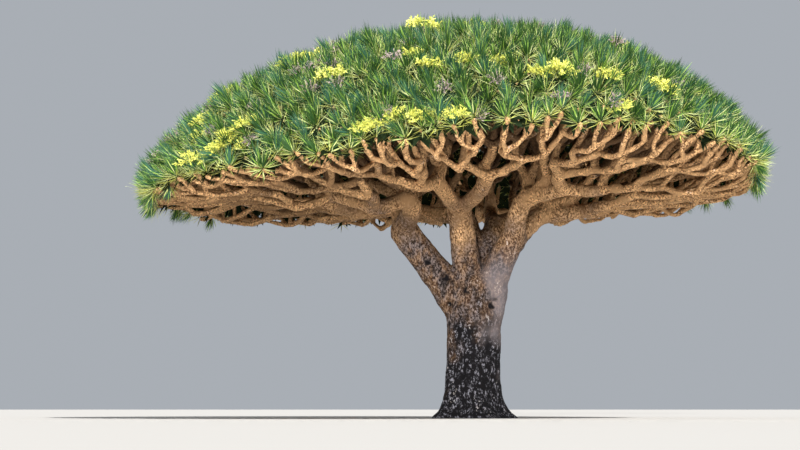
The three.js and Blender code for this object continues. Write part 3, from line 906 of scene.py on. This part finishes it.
# A spray of leaves round +Z: tilts run from the innermost leaf to the outermost.
def sprayParts(layer, kind, use):
    count, tilts, lengths, heights = (layer[key] for key in ("count", "tilts", "lengths", "heights"))
    halfWidth = rosette["halfWidth"] * layer.get("width", 1.0)
    parts = []
    for leaf in range(count):
        share = (leaf + 0.5) / count
        code = rosette["codeStep"] * (kind + 1) + leaf
        spin = leaf * goldenAngle + rosette["spinDrift"] * chance(code, use)
        tilt = lerp(*tilts, share ** rosette["crowding"]) + rosette["tiltDrift"] * chance(code, use + 1)
        tilt = math.radians(tilt)
        drift = 1 + rosette["lengthDrift"] * chance(code, use + 2)
        length = rosette["length"] * lerp(*lengths, share) * drift
        outward = np.array([math.cos(spin), math.sin(spin), 0])
        direction = outward * math.sin(tilt) + np.array([0, 0, math.cos(tilt)])
        side = np.array([-math.sin(spin), math.cos(spin), 0])
        root = outward * rosette["coreRadius"] + np.array([0, 0, lerp(*heights, share)])
        bend = 1 + rosette["droopDrift"] * chance(code, use + 3)
        droop = rosette["droop"] + rosette["outerDroop"] * share * bend
        parts.append(leafParts(root, direction, side, length, halfWidth, rosette["thickness"], droop))
    return parts


# Instances a collection's shapes on points, each turned, sized and chosen by the point's own values.
def scatterTree():
    tree = bpy.data.node_groups.new("scatter", "GeometryNodeTree")
    sockets = {}
    for label, kind in (
        ("Points", "NodeSocketGeometry"),
        ("Shapes", "NodeSocketCollection"),
        ("Size", "NodeSocketFloat"),
        ("Size Drift", "NodeSocketFloat"),
        ("Seed", "NodeSocketInt"),
        ("Material", "NodeSocketMaterial"),
    ):
        sockets[label] = tree.interface.new_socket(label, in_out="INPUT", socket_type=kind).identifier
    tree.interface.new_socket("Geometry", in_out="OUTPUT", socket_type="NodeSocketGeometry")
    nodes, link = tree.nodes, tree.links.new
    given = nodes.new("NodeGroupInput").outputs
    shapes = nodes.new("GeometryNodeCollectionInfo")
    shapes.inputs["Separate Children"].default_value = True
    shapes.inputs["Reset Children"].default_value = True
    link(given["Shapes"], shapes.inputs["Collection"])

    def named(key, kind):
        node = nodes.new("GeometryNodeInputNamedAttribute")
        node.data_type = kind
        node.inputs["Name"].default_value = key
        return node.outputs["Attribute"]

    drift = nodes.new("FunctionNodeRandomValue")
    drift.data_type = "FLOAT"
    link(combine(tree, "SUBTRACT", 1, given["Size Drift"]), drift.inputs[2])
    link(combine(tree, "ADD", 1, given["Size Drift"]), drift.inputs[3])
    link(given["Seed"], drift.inputs["Seed"])
    whole = multiply(tree, drift.outputs[1], given["Size"])
    sized = multiply(tree, whole, named("size", "FLOAT"))
    turned = nodes.new("FunctionNodeEulerToRotation")
    link(named("turned", "FLOAT_VECTOR"), turned.inputs[0])
    placed = nodes.new("GeometryNodeInstanceOnPoints")
    placed.inputs["Pick Instance"].default_value = True
    link(given["Points"], placed.inputs["Points"])
    link(shapes.outputs[0], placed.inputs["Instance"])
    link(named("kind", "INT"), placed.inputs["Instance Index"])
    link(turned.outputs[0], placed.inputs["Rotation"])
    link(sized, placed.inputs["Scale"])
    real = nodes.new("GeometryNodeRealizeInstances")
    link(placed.outputs[0], real.inputs[0])
    coloured = nodes.new("GeometryNodeSetMaterial")
    link(real.outputs[0], coloured.inputs["Geometry"])
    link(given["Material"], coloured.inputs["Material"])
    link(coloured.outputs[0], nodes.new("NodeGroupOutput").inputs[0])
    return tree, sockets


scatter, scatterSockets = scatterTree()
scatterSizes = {"Size": 1.0, "Size Drift": 0.1}


# A collection of shapes, each a list of closed parts, for the scatter tree to choose from.
def shapeSet(name, kinds):
    group = bpy.data.collections.new(name)
    for place, parts in enumerate(kinds):
        shape = joinedMesh(f"{name}_{place}", parts, smooth=False)
        bpy.context.scene.collection.objects.unlink(shape)
        group.objects.link(shape)
    return group


# One piece: the shapes of a set on the given places, each (spot, axis, spin, size, kind).
def scattered(name, places, shapes, material, seed):
    mesh = bpy.data.meshes.new(name)
    spots, axes, spins, sizes, kinds = zip(*places)
    mesh.from_pydata([spot[:] for spot in spots], [], [])
    turns = []
    for axis, spin in zip(axes, spins):
        turns += (axis.to_track_quat("Z", "Y").to_matrix() @ Matrix.Rotation(spin, 3, "Z")).to_euler()[:]
    mesh.attributes.new("turned", "FLOAT_VECTOR", "POINT").data.foreach_set("vector", turns)
    mesh.attributes.new("size", "FLOAT", "POINT").data.foreach_set("value", sizes)
    mesh.attributes.new("kind", "INT", "POINT").data.foreach_set("value", kinds)
    piece = bpy.data.objects.new(name, mesh)
    bpy.context.scene.collection.objects.link(piece)
    modifier = piece.modifiers.new("scatter", "NODES")
    modifier.node_group = scatter
    settings = {"Shapes": shapes, **scatterSizes, "Seed": seed, "Material": material}
    for label, value in settings.items():
        modifier[scatterSockets[label]] = value
    settle(piece)
    finishPiece(piece, massNodes)
    print(name, triangleCount(piece.data), "triangles")


# The number of a rosette in an order that doesn't repeat evenly.
def mixedNumber(index):
    return index * 7 + index // 5


# A place is a spot, an axis, a spin, a size and a kind. Rosettes stand at the tips, on an axis that lies
# between upright and square to the dome and leans at random.
places, hangingPlaces, closingPlaces = [], [], []
for limb in tips:
    code = limb["cell"]["code"]
    spot, normal = limb["end"]
    lean = Vector(chances(code, 61)) * rosette["lean"]
    atRim = limb["cell"]["outer"] == crown["capAngle"]
    upright = rosette["rimUpright"] if atRim else rosette["upright"]
    axis = (normal.lerp(Vector((0, 0, 1)), upright) + lean).normalized()
    stray = Vector(chances(code, 66)) * rosette["stray"]
    turn, tip = cellMiddle(limb["cell"])
    size = lerp(rosette["apexSize"], rosette["rimSize"], tip / crown["capAngle"])
    size *= 1 + rosette["sizeDrift"] * chance(code, 64)
    spin, kind = math.pi * chance(code, 65), code % rosette["kinds"]
    places.append((spot + stray, axis, spin, size, kind))
    # Each rosette also gets a flat spray of painted shade along the dome; at the rim it lies further in and
    # up.
    if atRim:
        inward = Vector((rimMiddle - spot.x, -spot.y, 0)).normalized()
        moved = spot + inward * closing["inward"] + Vector((0, 0, closing["up"]))
        closingPlaces.append((moved, normal, spin, closing["size"], kind))
    else:
        closingPlaces.append((spot, normal, spin, size, kind))
    inSector = any((math.degrees(turn) - low) % 360 < high - low for low, high in hanging["sectors"])
    if atRim and inSector and chance(code, 69) < 2 * hanging["share"] - 1:
        down = (axis * Vector((1, 1, 0)) + Vector((0, 0, -hanging["droop"]))).normalized()
        hangingPlaces.append((spot, down, spin, hanging["size"], kind))

for layerNumber, layer in enumerate(leafLayers):
    name = layer["name"]
    firstUse = 70 + 5 * layerNumber
    kinds = [sprayParts(layer, kind, firstUse) for kind in range(rosette["kinds"])]
    if "closes" in layer:
        chosen, gloss = closingPlaces, closingGloss
    else:
        turn, turns = layer["turns"]
        numbered = enumerate(places + hangingPlaces)
        chosen = [place for index, place in numbered if mixedNumber(index) % turns == turn]
        gloss = leafGloss
    skin = plainMaterial(f"leaf_{name}", layer["colour"], *gloss)
    scattered(f"leaves_{name}", chosen, shapeSet(f"{name}_sprays", kinds), skin, 11 + layerNumber)

# Blossom: branched heads of small fingers above some rosettes, and dry heads of the year before.
blossom = {
    "branches": 20,
    "fingers": 16,
    "tilts": (20, 88),
    "tiltDrift": 8,
    "flatness": 0.6,
    "foot": 0.17,
    "branchLength": 0.25,
    "branchDrift": 0.2,
    "branchWidth": 0.008,
    "fingerLength": 0.062,
    "fingerDrift": 0.3,
    "fingerWidth": 0.013,
    "fingerWidest": 0.6,
    "fingersFrom": 0.4,
    "fingersAhead": 0.8,
    "greenEvery": 3,
    "codeStep": 1301,
    "upright": 0.6,
    "hiddenFrom": 0.6,
    "hiddenShare": 0.06,
}
dryBlossom = {"branches": 13, "fingers": 8, "size": 0.6, "lift": 0.1, "share": 0.055}
# The parts of a head, each of one colour. Parts of the same head have the same seed.
blossomParts = [
    {"name": "bright", "colour": (0.86, 0.83, 0.18), "part": "tips", "seed": 31},
    {"name": "green", "colour": (0.5, 0.55, 0.12), "part": "stems", "seed": 31},
    {"name": "dry", "colour": (0.45, 0.34, 0.33), "part": "whole", "seed": 33},
]
blossomGloss = (0.7, 0.2)
# Where the front of the crown blooms: turn in degrees, share of the way out from the apex, how many heads.
blossomPlaces = [
    (268, 0.36, 1), (252, 0.41, 2), (220, 0.52, 1), (184, 0.38, 2), (388, 0.16, 2), (350, 0.35, 1),
    (214, 0.59, 3), (258, 0.75, 1), (340, 0.47, 1), (272, 0.8, 1), (278, 0.82, 1), (266, 0.85, 1),
    (284, 0.87, 1), (288, 0.9, 1), (244, 0.82, 2), (298, 0.89, 1), (310, 0.9, 1), (204, 0.78, 2),
    (298, 0.97, 1), (255, 0.99, 1), (259, 0.99, 1), (263, 0.99, 1), (266, 0.99, 1), (272, 0.99, 1),
    (232, 0.95, 4), (208, 0.89, 1), (218, 0.95, 1), (220, 0.99, 1),
]


# A head round +Z. Its stems are the branches and every third finger, and its tips are the other fingers.
def headParts(branches, fingers, kind, part):
    parts = []
    width, fingerWidth = blossom["branchWidth"], blossom["fingerWidth"]
    foot = np.array([0, 0, blossom["foot"]])
    slant = [0.3, 0.5, 0.81]  # any way but a finger's own
    for branch in range(branches):
        code = blossom["codeStep"] * (kind + 1) + branch
        spin = branch * goldenAngle
        tilt = lerp(*blossom["tilts"], (branch + 0.5) / branches) + blossom["tiltDrift"] * chance(code, 1)
        tilt = math.radians(tilt)
        outward = np.array([math.cos(spin), math.sin(spin), 0])
        direction = outward * math.sin(tilt) + np.array([0, 0, blossom["flatness"] * math.cos(tilt)])
        side = np.array([-math.sin(spin), math.cos(spin), 0])
        length = blossom["branchLength"] * (1 + blossom["branchDrift"] * chance(code, 2))
        if part != "tips":
            parts.append(leafParts(foot, direction, side, length, width, width))
        for finger in range(fingers):
            green = finger % blossom["greenEvery"] == 0
            if part != "whole" and green != (part == "stems"):
                continue
            share = lerp(blossom["fingersFrom"], 1.0, finger / (fingers - 1))
            way = direction * blossom["fingersAhead"] + np.array(chances(code, 3 + 4 * finger))
            way /= np.linalg.norm(way)
            across = np.cross(way, slant)
            across /= np.linalg.norm(across)
            long = blossom["fingerLength"] * (1 + blossom["fingerDrift"] * chance(code, 40 + finger))
            root = foot + direction * length * share
            widest = blossom["fingerWidest"]
            parts.append(leafParts(root, way, across, long, fingerWidth, fingerWidth, widest=widest))
    return parts


# Every other one of the places nearest to a point.
def nearest(spots, point, count):
    return sorted(range(len(spots)), key=lambda index: (spots[index][0] - point).length)[: 2 * count : 2]


blooming = set()
for turn, share, count in blossomPlaces:
    tip = math.asin(share * math.sin(crown["capAngle"]))
    blooming.update(nearest(places, domePoint(math.radians(turn), tip), count))
dry = set()
for index, limb in enumerate(tips):
    code = limb["cell"]["code"]
    isHidden = places[index][0].y > blossom["hiddenFrom"]
    if isHidden and chance(code, 90) < 2 * blossom["hiddenShare"] - 1:
        blooming.add(index)
    elif index not in blooming and chance(code, 91) < 2 * dryBlossom["share"] - 1:
        dry.add(index)
bloomPlaces = []
for index in sorted(blooming):
    spot, axis, spin, size, kind = places[index]
    raised = axis.lerp(Vector((0, 0, 1)), blossom["upright"]).normalized()
    bloomPlaces.append((spot, raised, spin, size, kind))
dryPlaces = []
for index in sorted(dry):
    spot, axis, spin, size, kind = places[index]
    dryPlaces.append((spot + axis * dryBlossom["lift"], axis, spin, size * dryBlossom["size"], kind))
for headPart in blossomParts:
    name = headPart["name"]
    chosen, form = (dryPlaces, dryBlossom) if name == "dry" else (bloomPlaces, blossom)
    kinds = [
        headParts(form["branches"], form["fingers"], kind, headPart["part"])
        for kind in range(rosette["kinds"])
    ]
    skin = plainMaterial(f"blossom_{name}", headPart["colour"], *blossomGloss)
    scattered(f"blossom_{name}", chosen, shapeSet(f"{name}_heads", kinds), skin, headPart["seed"])
print("blossom:", len(bloomPlaces), "heads,", len(dryPlaces), "dry heads")

# Studio: a pale floor, a pale surround, a high sun, a low fill from the front and light off the ground.
studio = {
    "floor": (0.48, 0.46, 0.43),
    "floorGloss": (0.9, 0.1),
    "floorReach": 400.0,
    "floorFront": 60.0,
    "floorDrop": 0.002,
    "surround": (0.86, 0.92, 1.0),
    "surroundPower": 0.46,
}
# Suns: power, and in degrees how wide they are, how far from overhead and their turn.
suns = {"key": (5.6, 3, 40, 38), "fill": (2.3, 3, 82, -6)}
bounceLight = {"power": 700, "width": 14, "depth": 5, "place": (0, -7, 0.02), "tilt": 155}

floorMesh = bpy.data.meshes.new("floor")
reach, front = studio["floorReach"], studio["floorFront"]
floorCorners = [(-reach, -front, 0), (reach, -front, 0), (reach, reach, 0), (-reach, reach, 0)]
floorMesh.from_pydata(floorCorners, [], [(0, 1, 2, 3)])
floor = bpy.data.objects.new("floor", floorMesh)
bpy.context.scene.collection.objects.link(floor)
floor.location.z = -studio["floorDrop"]
floorMesh.materials.append(plainMaterial("floor", studio["floor"], *studio["floorGloss"]))

world = bpy.data.worlds.new("surround")
bpy.context.scene.world = world
world.use_nodes = True
surround = world.node_tree.nodes["Background"]
surround.inputs["Color"].default_value = (*studio["surround"], 1)
surround.inputs["Strength"].default_value = studio["surroundPower"]


def addSun(name, power, angle, tilt, turn):
    light = bpy.data.lights.new(name, "SUN")
    light.energy = power
    light.angle = math.radians(angle)
    lamp = bpy.data.objects.new(name, light)
    lamp.rotation_euler = (math.radians(tilt), 0, math.radians(turn))
    bpy.context.scene.collection.objects.link(lamp)


for name, settings in suns.items():
    addSun(name, *settings)
# Light that bright ground would throw up under the crown.
bounceData = bpy.data.lights.new("bounce", "AREA")
bounceData.shape = "RECTANGLE"
bounceData.size = bounceLight["width"]
bounceData.size_y = bounceLight["depth"]
bounceData.energy = bounceLight["power"]
bounce = bpy.data.objects.new("bounce", bounceData)
bounce.location = bounceLight["place"]
bounce.rotation_euler = (math.radians(bounceLight["tilt"]), 0, 0)
bounce.visible_camera = False
bpy.context.scene.collection.objects.link(bounce)
bpy.context.scene.view_settings.view_transform = "Standard"

# The photo's view. Angles are in degrees, the lens and its sensor in millimetres.
view = {
    "distance": 27.92,
    "height": 0.15,
    "pitch": 6.3,
    "yaw": 2.46,
    "lens": 75,
    "sensor": 36,
    "farClip": 1000,
}
camera = bpy.data.objects.new("camera", bpy.data.cameras.new("camera"))
bpy.context.scene.collection.objects.link(camera)
camera.location = (0, -view["distance"], view["height"])
camera.rotation_euler = (math.radians(90 + view["pitch"]), 0, math.radians(view["yaw"]))
camera.data.lens = view["lens"]
camera.data.sensor_width = view["sensor"]
camera.data.clip_end = view["farClip"]
bpy.context.scene.camera = camera
print("studio: floor, lights and camera set")
